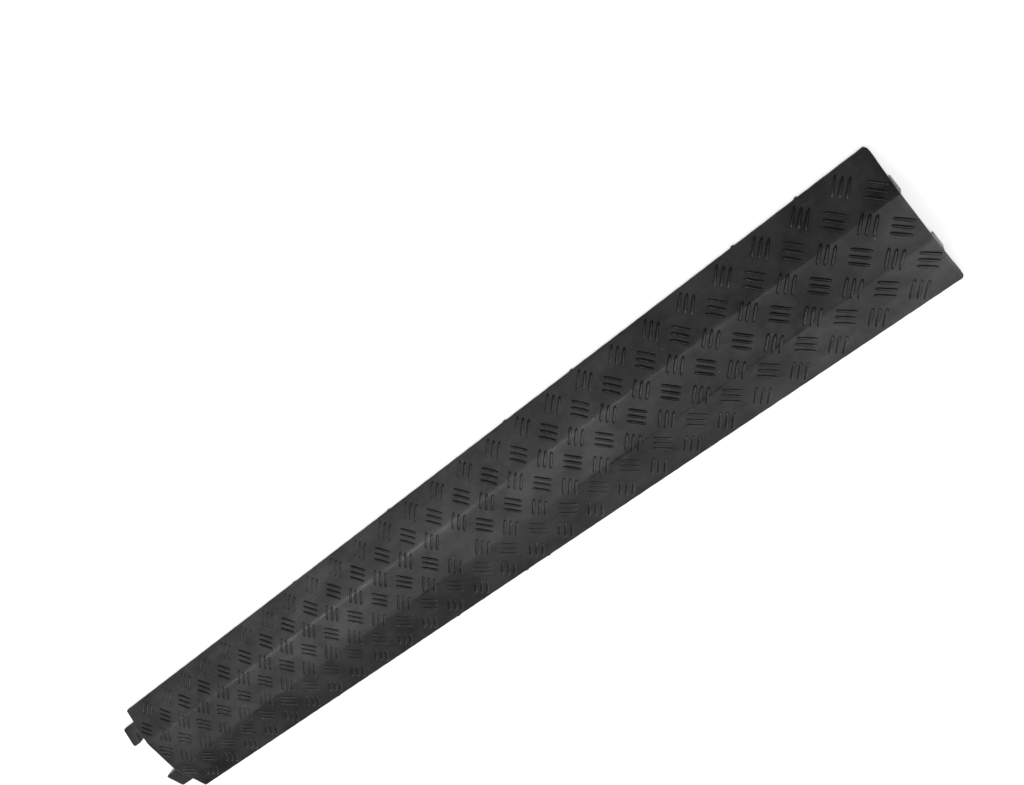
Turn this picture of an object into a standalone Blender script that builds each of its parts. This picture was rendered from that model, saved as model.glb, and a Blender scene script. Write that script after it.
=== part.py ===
"""Cable protector ramp: a one metre length of drop-over floor ramp with one cable channel.

The real ramp is one black plastic moulding. It is built here from the members that the mould
forms: a flat crown over the channel, two ramps with raised tread bars, channel walls, end walls,
cross ribs, screw bosses, and the hooks and sockets that join one ramp to the next.

Local X runs from the hook end's face (0) to the socket end's face (LENGTH), Y is across the ramp,
and Z is up from the floor. Members that meet in the moulding keep one SEAM between them.
"""
import math

import bmesh
import bpy
from mathutils import Matrix, Vector

# Overall form, in metres
LENGTH = 1.000
WIDTH = 0.130
RIDGE_HEIGHT = 0.017
EDGE_HEIGHT = 0.003
EDGE_RADIUS = 0.0009
HOOK_END_CORNER = 0.002
SOCKET_END_CORNER = 0.0035

# Walls under the deck
CROWN_WALL = 0.0045
CROWN_BEARING = 0.002
RAMP_WALL = 0.0035
CHANNEL_WIDTH = 0.041
CHANNEL_DRAFT = 0.001
FOOT_WIDTH = 0.00875
FOOT_DRAFT = 0.0005
RIM_WIDTH = 0.00625
END_WALL = 0.00875
SEAM = 0.0003

# Tread bars: groups of short bars on a staggered grid
TREAD_PITCH = 0.0375
TREAD_ROW_PITCH = 0.01725
TREAD_LEAN = math.radians(45)
TREAD_MARGIN = 0.001
BARS_IN_GROUP = 3
BAR_PITCH = 0.0057
BAR_LENGTH = 0.0175
BAR_WIDTH = 0.0024
BAR_HEIGHT = 0.0012
BAR_FLANK = 0.0005
BAR_ROOT = 0.0006

# Cross ribs under the ramps
RIB_COUNT = 17
FIRST_RIB = 0.060
LAST_RIB_INSET = 0.0855
RIB_FOOT = 0.0034
RIB_ROOT = 0.0042

# Screw bosses: a ring round a short post, held by two webs
HOOK_END_BOSS = 0.034
SOCKET_END_BOSS = 0.0585
RING_DIAMETER = 0.0255
RING_WALL = 0.002
RING_LAP = 0.001
WEB_WIDTH = 0.00275
POST_DIAMETER = 0.013
POST_RECESS = 0.0037
PILOT_DIAMETER = 0.0055
PILOT_DEPTH = 0.001
ROUND_SIDES = 28

# Hooks, and the sockets of the next ramp that drop over them
HOOK_REACH = 0.0262
HOOK_THROAT = 0.012
HOOK_HEAD_CLEARANCE = 0.0014
HOOK_ROOF_CLEARANCE = 0.0006
HOOK_CORNER = 0.0022
HOOK_TIP_CORNER = 0.0035
SOCKET_END_CLEARANCE = 0.0008
SOCKET_SIDE_CLEARANCE = 0.0022
SOCKET_MOUTH_CLEARANCE = 0.0029
SOCKET_WALL = 0.008
SOCKET_CHEEK = 0.0075
SOCKET_CORNER = 0.0015
SOCKET_INNER_WALL = 0.0040
CATCH_CLEARANCE = 0.001
CATCH_CORNER = 0.001

# How far a cutter reaches past what it cuts
CUTTER_MARGIN = 0.005

# Places that follow from the sizes
CHANNEL_SIDE = CHANNEL_WIDTH / 2
CROWN_SIDE = CHANNEL_SIDE - CHANNEL_DRAFT + CROWN_BEARING
SLOPE = (RIDGE_HEIGHT - EDGE_HEIGHT) / (WIDTH / 2 - CROWN_SIDE)
CEILING = RIDGE_HEIGHT - CROWN_WALL
FOOT_OUTER = CHANNEL_SIDE + FOOT_WIDTH
RIM_INNER = WIDTH / 2 - RIM_WIDTH
RIDGE_SIDE = CROWN_SIDE + SEAM / 2
POCKET_START = LENGTH - HOOK_REACH - SOCKET_END_CLEARANCE
POCKET_INNER = CHANNEL_SIDE + SOCKET_INNER_WALL
POCKET_OUTER = RIM_INNER - SOCKET_CHEEK
HOOK_ARM_OUTER = POCKET_OUTER - SOCKET_SIDE_CLEARANCE
HOOK_ARM_WIDTH = (HOOK_ARM_OUTER - SOCKET_MOUTH_CLEARANCE - POCKET_INNER) / 2
HOOK_ARM_INNER = HOOK_ARM_OUTER - HOOK_ARM_WIDTH
HOOK_HEAD_INNER = POCKET_INNER + HOOK_HEAD_CLEARANCE
CATCH_START = LENGTH - HOOK_THROAT + CATCH_CLEARANCE
CATCH_OUTER = HOOK_ARM_INNER - SOCKET_MOUTH_CLEARANCE
BOSS_Y = FOOT_OUTER + RING_DIAMETER / 2 - RING_LAP
LAST_RIB = LENGTH - LAST_RIB_INSET
SIDES = {"left": 1, "right": -1}

# Turns an outline drawn in X and Y into a section in Y and Z that runs along X
SECTION_TURN = Matrix(((0, 0, 1, 0), (1, 0, 0, 0), (0, 1, 0, 0), (0, 0, 0, 1)))


def clear_scene():
    for item in list(bpy.data.objects):
        bpy.data.objects.remove(item)


def new_collection(name):
    collection = bpy.data.collections.new(name)
    bpy.context.scene.collection.children.link(collection)
    return collection


def black_plastic(name, shade, roughness):
    """A moulded black plastic, slightly lighter where shoes and wheels have scuffed it."""
    material = bpy.data.materials.new(name)
    material.use_nodes = True
    shader = material.node_tree.nodes["Principled BSDF"]
    shader.inputs["Base Color"].default_value = (shade, shade, shade * 1.03, 1)
    shader.inputs["Roughness"].default_value = roughness
    shader.inputs["Metallic"].default_value = 0.0
    return material


def deck_height(y):
    """Height of the deck's top surface at a distance y from the middle."""
    return RIDGE_HEIGHT - SLOPE * max(abs(y) - CROWN_SIDE, 0)


def underside(y):
    """Height of a ramp's underside, one wall below its top and parallel to it."""
    return RIDGE_HEIGHT - SLOPE * (abs(y) - CROWN_SIDE) - RAMP_WALL * math.hypot(1, SLOPE)


def wall_face(z):
    """Distance from the middle of a channel wall's outer face, which leans out as it rises."""
    return FOOT_OUTER + FOOT_DRAFT * z / RIDGE_HEIGHT


def rounded(outline, radii, steps=4):
    """The outline with an arc at each corner that has a radius; radii is keyed by corner."""
    points = []
    for index, corner in enumerate(outline):
        radius = radii.get(index, 0)
        if radius == 0:
            points.append(corner)
            continue
        here = Vector(corner)
        back = (Vector(outline[index - 1]) - here).normalized()
        ahead = (Vector(outline[(index + 1) % len(outline)]) - here).normalized()
        half_angle = back.angle(ahead) / 2
        centre = here + (back + ahead).normalized() * radius / math.sin(half_angle)
        start = here + back * radius / math.tan(half_angle) - centre
        end = here + ahead * radius / math.tan(half_angle) - centre
        sweep = start.angle_signed(end)
        for step in range(steps + 1):
            spoke = Matrix.Rotation(-sweep * step / steps, 2) @ start
            points.append(tuple(centre + spoke))
    return points


def mirrored(outline, side):
    """A section's outline, with its first coordinate on the given side of the middle."""
    return [(side * y, z) for y, z in outline]


def mesh_object(name, bm, collection, material=None):
    bmesh.ops.remove_doubles(bm, verts=bm.verts, dist=1e-6)
    bmesh.ops.recalc_face_normals(bm, faces=bm.faces)
    mesh = bpy.data.meshes.new(name)
    bm.to_mesh(mesh)
    bm.free()
    item = bpy.data.objects.new(name, mesh)
    collection.objects.link(item)
    if material is not None:
        mesh.materials.append(material)
    return item


def extruded(name, outline, start, end, turn, collection, material=None):
    """A flat outline, filled and extruded from start to end along its own normal."""
    curve = bpy.data.curves.new(name, "CURVE")
    curve.dimensions = "2D"
    curve.fill_mode = "BOTH"
    curve.extrude = (end - start) / 2
    spline = curve.splines.new("POLY")
    spline.points.add(len(outline) - 1)
    for point, (u, v) in zip(spline.points, outline):
        point.co = (u, v, 0, 1)
    spline.use_cyclic_u = True
    flat = bpy.data.objects.new(name + "_outline", curve)
    collection.objects.link(flat)
    view = bpy.context.evaluated_depsgraph_get()
    filled = bpy.data.meshes.new_from_object(flat.evaluated_get(view))
    bpy.data.objects.remove(flat)
    bm = bmesh.new()
    bm.from_mesh(filled)
    bpy.data.meshes.remove(filled)
    bm.transform(turn @ Matrix.Translation((0, 0, (start + end) / 2)))
    return mesh_object(name, bm, collection, material)


def section(name, outline, start, end, collection, material=None):
    """A section in Y and Z that runs along X from start to end."""
    return extruded(name, outline, start, end, SECTION_TURN, collection, material)


def plan(name, outline, low, high, collection, material=None):
    """An outline in X and Y that rises along Z from low to high."""
    return extruded(name, outline, low, high, Matrix.Identity(4), collection, material)


def cylinder(name, diameter, low, high, centre, collection, material=None):
    bm = bmesh.new()
    bmesh.ops.create_cone(
        bm,
        cap_ends=True,
        segments=ROUND_SIDES,
        radius1=diameter / 2,
        radius2=diameter / 2,
        depth=high - low,
        matrix=Matrix.Translation((centre[0], centre[1], (low + high) / 2)),
    )
    return mesh_object(name, bm, collection, material)


def combine(item, other, operation):
    """Cut, join or trim the item with another object, which is then kept as a guide."""
    change = item.modifiers.new(f"{operation.lower()}_{other.name}", "BOOLEAN")
    change.operation = operation
    change.solver = "EXACT"
    change.object = other
    other.hide_render = True
    other.display_type = "WIRE"


def roof_cutter(name, side, clearance, cutters):
    """All the space above a ramp's underside, lowered by a clearance."""
    outline = [
        (CHANNEL_SIDE, underside(CHANNEL_SIDE) - clearance),
        (WIDTH / 2, underside(WIDTH / 2) - clearance),
        (WIDTH / 2, RIDGE_HEIGHT + CUTTER_MARGIN),
        (CHANNEL_SIDE, RIDGE_HEIGHT + CUTTER_MARGIN),
    ]
    start = -HOOK_REACH - CUTTER_MARGIN
    return section(name, mirrored(outline, side), start, LENGTH + CUTTER_MARGIN, cutters)


def cell_outline():
    """The section under one ramp between its channel wall and its rim, one seam clear of both."""
    top_inner = wall_face(underside(FOOT_OUTER)) + SEAM
    return [
        (FOOT_OUTER + SEAM, 0),
        (RIM_INNER - SEAM, 0),
        (RIM_INNER - SEAM, underside(RIM_INNER - SEAM) - SEAM),
        (top_inner, underside(top_inner) - SEAM),
    ]


def tread_places():
    """Plan centre and lean of each bar group; the middle place of the deck stays plain."""
    reach = (BAR_LENGTH / 2 + BAR_PITCH * (BARS_IN_GROUP - 1) / 2 + BAR_WIDTH / 2) * math.sin(TREAD_LEAN)
    rows = int((WIDTH / 2 - TREAD_MARGIN - reach) / TREAD_ROW_PITCH)
    places = []
    for row in range(-rows, rows + 1):
        shift = TREAD_PITCH / 2 if row % 2 else 0
        lean = TREAD_LEAN if row % 2 else -TREAD_LEAN
        count = int((LENGTH / 2 - TREAD_MARGIN - reach + shift) / TREAD_PITCH)
        for step in range(-count, count + 1):
            x = step * TREAD_PITCH - shift
            if x < reach - LENGTH / 2 or (row, step) == (0, 0):
                continue
            places.append((LENGTH / 2 + x, row * TREAD_ROW_PITCH, lean))
    return places


def add_bar(bm, place):
    """One bar: a low block with leaning flanks, sunk a little into the deck that it stands on."""
    bar = bmesh.ops.create_cube(bm, size=1)["verts"]
    for vert in bar:
        flank = BAR_FLANK if vert.co.z > 0 else 0
        vert.co.x *= BAR_LENGTH - 2 * flank
        vert.co.y *= BAR_WIDTH - 2 * flank
        vert.co.z = BAR_HEIGHT if vert.co.z > 0 else -BAR_ROOT
    bmesh.ops.transform(bm, matrix=place, verts=bar)


def tread_bars(name, low_y, high_y, guides):
    """The bars between two lines along the ramp, following the deck's height."""
    bm = bmesh.new()
    for x, y, lean in tread_places():
        for index in range(BARS_IN_GROUP):
            across = (index - (BARS_IN_GROUP - 1) / 2) * BAR_PITCH
            turn = Matrix.Rotation(lean, 4, "Z")
            add_bar(bm, Matrix.Translation((x, y, 0)) @ turn @ Matrix.Translation((0, across, 0)))
    for edge_y, outward in ((low_y, -1), (high_y, 1)):
        bmesh.ops.bisect_plane(
            bm,
            geom=bm.verts[:] + bm.edges[:] + bm.faces[:],
            plane_co=(0, edge_y, 0),
            plane_no=(0, outward, 0),
            clear_outer=True,
        )
        bmesh.ops.holes_fill(bm, edges=[edge for edge in bm.edges if edge.is_boundary])
    for vert in bm.verts:
        vert.co.z += deck_height(vert.co.y)
    return mesh_object(name, bm, guides)


def build_crown(parts, guides, material):
    """The flat top over the cable channel, with its share of the treads."""
    side = CROWN_SIDE - SEAM / 2
    outline = [(-side, CEILING), (side, CEILING), (side, RIDGE_HEIGHT), (-side, RIDGE_HEIGHT)]
    crown = section("crown", outline, 0, LENGTH, parts, material)
    combine(crown, tread_bars("crown_bars", SEAM - side, side - SEAM, guides), "UNION")
    return crown


def build_ramp(name, side, parts, guides, material):
    """A sloping deck with a foot rim along its outer edge, rounded corners and its treads."""
    outline = [
        (RIDGE_SIDE, underside(RIDGE_SIDE)),
        (RIM_INNER, underside(RIM_INNER)),
        (RIM_INNER, 0),
        (WIDTH / 2, 0),
        (WIDTH / 2, EDGE_HEIGHT),
        (RIDGE_SIDE, deck_height(RIDGE_SIDE)),
    ]
    ramp = section(name, mirrored(rounded(outline, {4: EDGE_RADIUS}), side), 0, LENGTH, parts, material)
    margin = CUTTER_MARGIN
    corners = [
        (0, side * (RIDGE_SIDE - margin)),
        (LENGTH, side * (RIDGE_SIDE - margin)),
        (LENGTH, side * WIDTH / 2),
        (0, side * WIDTH / 2),
    ]
    blank = rounded(corners, {2: SOCKET_END_CORNER, 3: HOOK_END_CORNER})
    combine(ramp, plan(name + "_blank", blank, -margin, RIDGE_HEIGHT + margin, guides), "INTERSECT")
    near = side * (RIDGE_SIDE + SEAM)
    far = side * WIDTH / 2
    combine(ramp, tread_bars(name + "_bars", min(near, far), max(near, far), guides), "UNION")
    return ramp


def channel_side_top():
    """The inner top corner points that every wall beside the channel shares."""
    return [
        (RIDGE_SIDE, underside(RIDGE_SIDE) - SEAM),
        (RIDGE_SIDE, CEILING - SEAM),
        (CHANNEL_SIDE - CHANNEL_DRAFT, CEILING - SEAM),
    ]


def build_channel_wall(name, side, parts, material):
    """One side of the cable channel, from the hook end wall to where the socket starts."""
    top_outer = wall_face(underside(FOOT_OUTER))
    outline = [
        (CHANNEL_SIDE, 0),
        (FOOT_OUTER, 0),
        (top_outer, underside(top_outer) - SEAM),
        *channel_side_top(),
    ]
    start = END_WALL + SEAM
    return section(name, mirrored(outline, side), start, POCKET_START - SEAM, parts, material)


def build_socket_inner_wall(name, side, parts, material):
    """The thinner stretch of channel wall beside a socket, which leaves room for the hook."""
    outline = [
        (CHANNEL_SIDE, 0),
        (POCKET_INNER, 0),
        (POCKET_INNER, underside(POCKET_INNER) - SEAM),
        *channel_side_top(),
    ]
    return section(name, mirrored(outline, side), POCKET_START, LENGTH, parts, material)


def build_end_wall(name, side, parts, material):
    """The solid wall that closes the hook end beside the channel and carries a hook."""
    outline = [
        (CHANNEL_SIDE, 0),
        (RIM_INNER - SEAM, 0),
        (RIM_INNER - SEAM, underside(RIM_INNER - SEAM) - SEAM),
        *channel_side_top(),
    ]
    return section(name, mirrored(outline, side), 0, END_WALL, parts, material)


def rib_blank(name, side, collection, material):
    """A cross rib from the channel wall to the rim, thicker at its root than at its foot."""
    outline = mirrored(cell_outline(), side)
    rib = section(name, outline, -RIB_FOOT / 2, RIB_FOOT / 2, collection, material)
    for vert in rib.data.vertices:
        thickness = RIB_FOOT + (RIB_ROOT - RIB_FOOT) * vert.co.z / RIDGE_HEIGHT
        vert.co.x = math.copysign(thickness / 2, vert.co.x)
    return rib


def build_ribs(side_name, side, parts, material):
    """The row of ribs under one ramp, evenly spaced from the first to the last."""
    first = rib_blank(f"rib_{side_name}_01", side, parts, material)
    first.location.x = FIRST_RIB
    ribs = [first]
    for index in range(1, RIB_COUNT):
        rib = bpy.data.objects.new(f"rib_{side_name}_{index + 1:02d}", first.data)
        rib.location.x = FIRST_RIB + (LAST_RIB - FIRST_RIB) * index / (RIB_COUNT - 1)
        parts.objects.link(rib)
        ribs.append(rib)
    return ribs


def build_boss_ring(name, side, centre_x, web_ends, parts, guides, cell, material):
    """The ring round a screw post, with a web along X to the wall or rib on either side."""
    centre = (centre_x, side * BOSS_Y)
    ring = cylinder(name, RING_DIAMETER, 0, RIDGE_HEIGHT, centre, parts, material)
    web_outline = [
        (web_ends[0], centre[1] - WEB_WIDTH / 2),
        (web_ends[1], centre[1] - WEB_WIDTH / 2),
        (web_ends[1], centre[1] + WEB_WIDTH / 2),
        (web_ends[0], centre[1] + WEB_WIDTH / 2),
    ]
    combine(ring, plan(name + "_webs", web_outline, 0, RIDGE_HEIGHT, guides), "UNION")
    bore = RING_DIAMETER - 2 * RING_WALL
    margin = CUTTER_MARGIN
    cutter = cylinder(name + "_bore", bore, -margin, RIDGE_HEIGHT + margin, centre, guides)
    combine(ring, cutter, "DIFFERENCE")
    combine(ring, cell, "INTERSECT")
    return ring


def build_post(name, side, centre_x, parts, guides, cell, material):
    """The short post inside a boss ring, with a shallow pilot mark for a drill."""
    centre = (centre_x, side * BOSS_Y)
    post = cylinder(name, POST_DIAMETER, POST_RECESS, RIDGE_HEIGHT, centre, parts, material)
    low = POST_RECESS - CUTTER_MARGIN
    pilot = cylinder(name + "_pilot", PILOT_DIAMETER, low, POST_RECESS + PILOT_DEPTH, centre, guides)
    combine(post, pilot, "DIFFERENCE")
    combine(post, cell, "INTERSECT")
    return post


def build_hook(name, side, parts, roof, material):
    """An arm and an inward head that the next ramp's socket drops over."""
    corners = [
        (-SEAM, HOOK_ARM_INNER),
        (-HOOK_THROAT, HOOK_ARM_INNER),
        (-HOOK_THROAT, HOOK_HEAD_INNER),
        (-HOOK_REACH, HOOK_HEAD_INNER),
        (-HOOK_REACH, HOOK_ARM_OUTER),
        (-SEAM, HOOK_ARM_OUTER),
    ]
    radii = {1: SOCKET_CORNER, 2: HOOK_CORNER, 3: HOOK_TIP_CORNER, 4: HOOK_CORNER}
    outline = [(x, side * y) for x, y in rounded(corners, radii)]
    hook = plan(name, outline, 0, RIDGE_HEIGHT, parts, material)
    combine(hook, roof, "DIFFERENCE")
    return hook


def build_socket_wall(name, side, parts, cell, material):
    """The wall behind a socket, with a cheek that narrows the socket beside the rim."""
    start = POCKET_START - SOCKET_WALL
    corners = [
        (start, FOOT_OUTER),
        (POCKET_START, FOOT_OUTER),
        (POCKET_START, POCKET_OUTER),
        (LENGTH, POCKET_OUTER),
        (LENGTH, RIM_INNER - SEAM),
        (start, RIM_INNER - SEAM),
    ]
    outline = [(x, side * y) for x, y in rounded(corners, {2: SOCKET_CORNER})]
    wall = plan(name, outline, 0, RIDGE_HEIGHT, parts, material)
    combine(wall, cell, "INTERSECT")
    return wall


def build_catch(name, side, parts, roof, material):
    """The block at a socket's mouth that the neighbour's hook head pulls against."""
    corners = [
        (CATCH_START, POCKET_INNER + SEAM),
        (LENGTH, POCKET_INNER + SEAM),
        (LENGTH, CATCH_OUTER),
        (CATCH_START, CATCH_OUTER),
    ]
    outline = [(x, side * y) for x, y in rounded(corners, {2: CATCH_CORNER, 3: CATCH_CORNER})]
    catch = plan(name, outline, 0, RIDGE_HEIGHT, parts, material)
    combine(catch, roof, "DIFFERENCE")
    return catch


def build_bosses(side_name, side, parts, guides, cell, materials):
    """The boss near each end of one ramp: a ring with its webs, and the post inside it."""
    rib_clear = RIB_ROOT / 2 + SEAM
    bosses = {
        "hook_end": (HOOK_END_BOSS, (END_WALL + SEAM, FIRST_RIB - rib_clear)),
        "socket_end": (
            LENGTH - SOCKET_END_BOSS,
            (LAST_RIB + rib_clear, POCKET_START - SOCKET_WALL - SEAM),
        ),
    }
    made = []
    for end_name, (centre_x, web_ends) in bosses.items():
        ring_name = f"boss_ring_{side_name}_{end_name}"
        post_name = f"screw_post_{side_name}_{end_name}"
        ring = build_boss_ring(
            ring_name, side, centre_x, web_ends, parts, guides, cell, materials["boss"]
        )
        post = build_post(post_name, side, centre_x, parts, guides, cell, materials["post"])
        made += [ring, post]
    return made


def build_side(side_name, side, parts, guides, materials):
    """Everything under and beside the crown on one side of the ramp."""
    roof = roof_cutter(f"roof_{side_name}", side, SEAM, guides)
    low_roof = roof_cutter(f"low_roof_{side_name}", side, HOOK_ROOF_CLEARANCE, guides)
    cell = section(f"cell_{side_name}", mirrored(cell_outline(), side), 0, LENGTH, guides)
    return [
        build_ramp(f"ramp_{side_name}", side, parts, guides, materials["deck"]),
        build_channel_wall(f"channel_wall_{side_name}", side, parts, materials["wall"]),
        build_end_wall(f"hook_end_wall_{side_name}", side, parts, materials["wall"]),
        *build_ribs(side_name, side, parts, materials["rib"]),
        *build_bosses(side_name, side, parts, guides, cell, materials),
        build_hook(f"hook_{side_name}", side, parts, low_roof, materials["hook"]),
        build_socket_inner_wall(f"socket_inner_wall_{side_name}", side, parts, materials["socket"]),
        build_socket_wall(f"socket_wall_{side_name}", side, parts, cell, materials["socket"]),
        build_catch(f"socket_catch_{side_name}", side, parts, roof, materials["socket"]),
    ]


def build_cable_protector_ramp():
    clear_scene()
    parts = new_collection("cable_protector_ramp")
    guides = new_collection("guides")
    materials = {
        "deck": black_plastic("tread_deck_plastic", 0.040, 0.48),
        "wall": black_plastic("wall_plastic", 0.030, 0.42),
        "rib": black_plastic("rib_plastic", 0.028, 0.42),
        "boss": black_plastic("boss_plastic", 0.028, 0.40),
        "post": black_plastic("post_plastic", 0.034, 0.40),
        "hook": black_plastic("hook_plastic", 0.032, 0.44),
        "socket": black_plastic("socket_plastic", 0.030, 0.42),
    }
    made = [build_crown(parts, guides, materials["deck"])]
    for side_name, side in SIDES.items():
        made += build_side(side_name, side, parts, guides, materials)
    datum = bpy.data.objects.new("hook_end_datum", None)
    parts.objects.link(datum)
    datum.location.x = (HOOK_REACH - LENGTH) / 2
    for item in list(parts.objects) + list(guides.objects):
        if item is not datum:
            item.parent = datum
    print(f"{len(made)} members")


build_cable_protector_ramp()
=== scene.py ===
import math

import bmesh
import bpy
import numpy as np
from mathutils import Matrix, Vector


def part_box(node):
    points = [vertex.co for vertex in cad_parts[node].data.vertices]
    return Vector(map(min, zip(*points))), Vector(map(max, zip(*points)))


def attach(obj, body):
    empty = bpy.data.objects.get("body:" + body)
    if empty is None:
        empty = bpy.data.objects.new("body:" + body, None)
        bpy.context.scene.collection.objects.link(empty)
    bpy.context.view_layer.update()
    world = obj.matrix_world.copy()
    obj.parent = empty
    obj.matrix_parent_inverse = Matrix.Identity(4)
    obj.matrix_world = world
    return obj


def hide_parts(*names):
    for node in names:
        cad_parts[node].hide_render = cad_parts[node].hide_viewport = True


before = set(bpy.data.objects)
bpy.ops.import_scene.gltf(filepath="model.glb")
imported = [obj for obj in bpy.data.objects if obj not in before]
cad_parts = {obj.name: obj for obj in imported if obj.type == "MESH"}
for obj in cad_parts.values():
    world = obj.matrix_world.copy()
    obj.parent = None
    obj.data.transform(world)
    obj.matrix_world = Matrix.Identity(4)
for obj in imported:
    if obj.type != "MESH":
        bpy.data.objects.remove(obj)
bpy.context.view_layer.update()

# Crown: the flat top of the moulding, over the cable channel. Like the whole ramp it is black plastic,
# injected as one piece. Its two long edges are the ridges where the deck folds down into the ramps, eased by
# the mould.

BAR_ALLOWANCE = 0.0012
RIDGE_EASE = 0.0026
FOOT_STEP = 0.0030
END_EDGE = 0.00035
CROWN_STEP = 0.0040
CROWN_POINTS = 43
RIPPLE_HEIGHT = 0.000012
RIPPLE_WAVES = ((61, 40, 0.3), (97, -75, 1.1), (149, 120, 2.0), (233, -60, 4.2))
CORNER_TURNS = 4
TOUCHING = 1e-6
DUST_TONE = 0.16
GREEN_CAST = 1.01
BLUE_CAST = 1.02
RUB_POLISH = 0.10
SCUFF_DULLING = 0.15
FILM_WEIGHT = 0.6
FILM_ROUGHNESS = 0.34
SMUDGE_RELIEF = 2.0

crown_low, crown_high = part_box("crown")
ramp_low, ramp_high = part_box("ramp_left")
hook_end = crown_low.x
socket_end = crown_high.x
ceiling = crown_low.z
ridge_y = (crown_high.y + ramp_low.y) / 2
ridge_z = crown_high.z - BAR_ALLOWANCE
edge_y = ramp_high.y
fall = (ridge_z - FOOT_STEP) / (edge_y - ridge_y)


def deck_height(y):
    """Height of the deck at y: level on the crown, then falling evenly. The fold between them is a hyperbola,
    the mean of the distance past the ridge and that distance's length with the easing width."""
    past = np.abs(y) - ridge_y
    return ridge_z - fall * (past + np.hypot(past, RIDGE_EASE)) / 2


def inset(outline, by):
    """A closed anticlockwise outline moved inwards: each corner goes along the sum of its two edges' normals,
    over one plus the cosine between them, so that both edges move by the same distance."""
    edge = np.roll(outline, -1, axis=0) - outline
    normal = np.stack([-edge[:, 1], edge[:, 0]], axis=1)
    normal /= np.linalg.norm(normal, axis=1, keepdims=True)
    before = np.roll(normal, 1, axis=0)
    return outline + by * (normal + before) / (1 + (normal * before).sum(axis=1, keepdims=True))


def swept(section, butt, step):
    """Rings of a section in Y and Z carried along the ramp. At both ends it draws in over a quarter round,
    except where it butts against its neighbour at the ridge."""
    turn = np.linspace(0, math.pi / 2, CORNER_TURNS)
    lead = END_EDGE * (1 - np.cos(turn))
    drawn = END_EDGE * (1 - np.sin(turn))
    count = round((socket_end - hook_end) / step)
    middle = np.linspace(hook_end + END_EDGE, socket_end - END_EDGE, count)[1:-1]
    x = np.concatenate([hook_end + lead, middle, (socket_end - lead)[::-1]])
    by = np.concatenate([drawn, 0 * middle, drawn[::-1]])
    rings = np.empty((len(x), len(section), 3))
    rings[:, :, 0] = x[:, None]
    rings[:, :, 1:] = [inset(section, amount) for amount in by]
    rings[:, butt, 1] = section[butt, 0]
    return rings


def ripple(x, y):
    """The moulding's slight waviness: a few slow waves along the ramp, skewed by y, added up."""
    return sum(np.sin(a * x + b * y + c) for a, b, c in RIPPLE_WAVES) * RIPPLE_HEIGHT


def ridge_wear_and_sheen(y):
    """How much the ridge is rubbed and given a painted sheen at y: a bell about the fold, as wide as its
    easing.
    """
    return np.exp(-(((np.abs(y) - ridge_y) / RIDGE_EASE) ** 2))


def closed_skin(rings, round_trip=False):
    """Points and faces of closed bodies from rings[body, ring, point, xyz]. Neighbouring rings are joined by
    quads. The first and last ring are capped, or joined to each other for a round trip."""
    bodies, count, points = rings.shape[:3]
    ring = np.arange(count if round_trip else count - 1)[:, None]
    point = np.arange(points)[None, :]
    near = ring * points
    far = (ring + 1) % count * points
    beside = (point + 1) % points
    quads = np.stack([near + point, near + beside, far + beside, far + point], axis=-1).reshape(-1, 4)
    offset = np.arange(bodies)[:, None, None] * count * points
    faces = (quads[None] + offset).reshape(-1, 4).tolist()
    if not round_trip:
        caps = np.stack([np.arange(points), np.arange(points) + (count - 1) * points])
        faces += (caps[None] + offset).reshape(-1, points).tolist()
    return rings.reshape(-1, 3), faces


def moulded(name, skins, material, crease=38, rub_and_sheen=None):
    """One object from closed skins, its faces turned outwards, smooth except at creases sharper than an
    angle. The rub mask says how worn each point is and how much painted sheen it gets, from 0 to 1."""
    points = []
    faces = []
    start = 0
    for skin_points, skin_faces in skins:
        points.append(skin_points)
        faces += [[index + start for index in face] for face in skin_faces]
        start += len(skin_points)
    mesh = bpy.data.meshes.new(name)
    mesh.from_pydata(np.concatenate(points).tolist(), [], faces)
    shaped = bmesh.new()
    shaped.from_mesh(mesh)
    bmesh.ops.recalc_face_normals(shaped, faces=shaped.faces)
    shaped.to_mesh(mesh)
    shaped.free()
    mesh.shade_smooth()
    mesh.set_sharp_from_angle(angle=math.radians(crease))
    mesh.materials.append(material)
    if rub_and_sheen is not None:
        wear = mesh.attributes.new("rub_and_sheen", "FLOAT", "POINT")
        wear.data.foreach_set("value", rub_and_sheen.ravel().astype(np.float32))
    made = bpy.data.objects.new(name, mesh)
    bpy.context.scene.collection.objects.link(made)
    return made


def effect_group(name, outputs):
    """An empty shader group that takes coordinates and gives named values, and its input and output nodes."""
    group = bpy.data.node_groups.new(name, "ShaderNodeTree")
    group.interface.new_socket("Vector", in_out="INPUT", socket_type="NodeSocketVector")
    for socket in outputs:
        group.interface.new_socket(socket, in_out="OUTPUT", socket_type="NodeSocketFloat")
    return group, group.nodes.new("NodeGroupInput"), group.nodes.new("NodeGroupOutput")


def math_node(tree, operation, *values):
    """A Math node fed with numbers or sockets, and its output."""
    node = tree.nodes.new("ShaderNodeMath")
    node.operation = operation
    for socket, value in zip(node.inputs, values):
        if isinstance(value, (int, float)):
            socket.default_value = value
        else:
            tree.links.new(value, socket)
    return node.outputs[0]


def weighed(tree, first, share, second, other_share):
    """Two values added up, each by its share."""
    part = math_node(tree, "MULTIPLY", first, share)
    other_part = math_node(tree, "MULTIPLY", second, other_share)
    return math_node(tree, "ADD", part, other_part)


def noise(tree, vector, scale, detail, rough=0.5):
    """A Noise Texture's value at a scale in features a metre."""
    node = tree.nodes.new("ShaderNodeTexNoise")
    node.inputs["Scale"].default_value = scale
    node.inputs["Detail"].default_value = detail
    node.inputs["Roughness"].default_value = rough
    tree.links.new(vector, node.inputs["Vector"])
    return node.outputs["Fac"]


def spread(tree, value, low, high):
    """The part of a value between low and high, stretched to run from 0 to 1."""
    node = tree.nodes.new("ShaderNodeMapRange")
    node.inputs["From Min"].default_value = low
    node.inputs["From Max"].default_value = high
    tree.links.new(value, node.inputs["Value"])
    return node.outputs[0]


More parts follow.
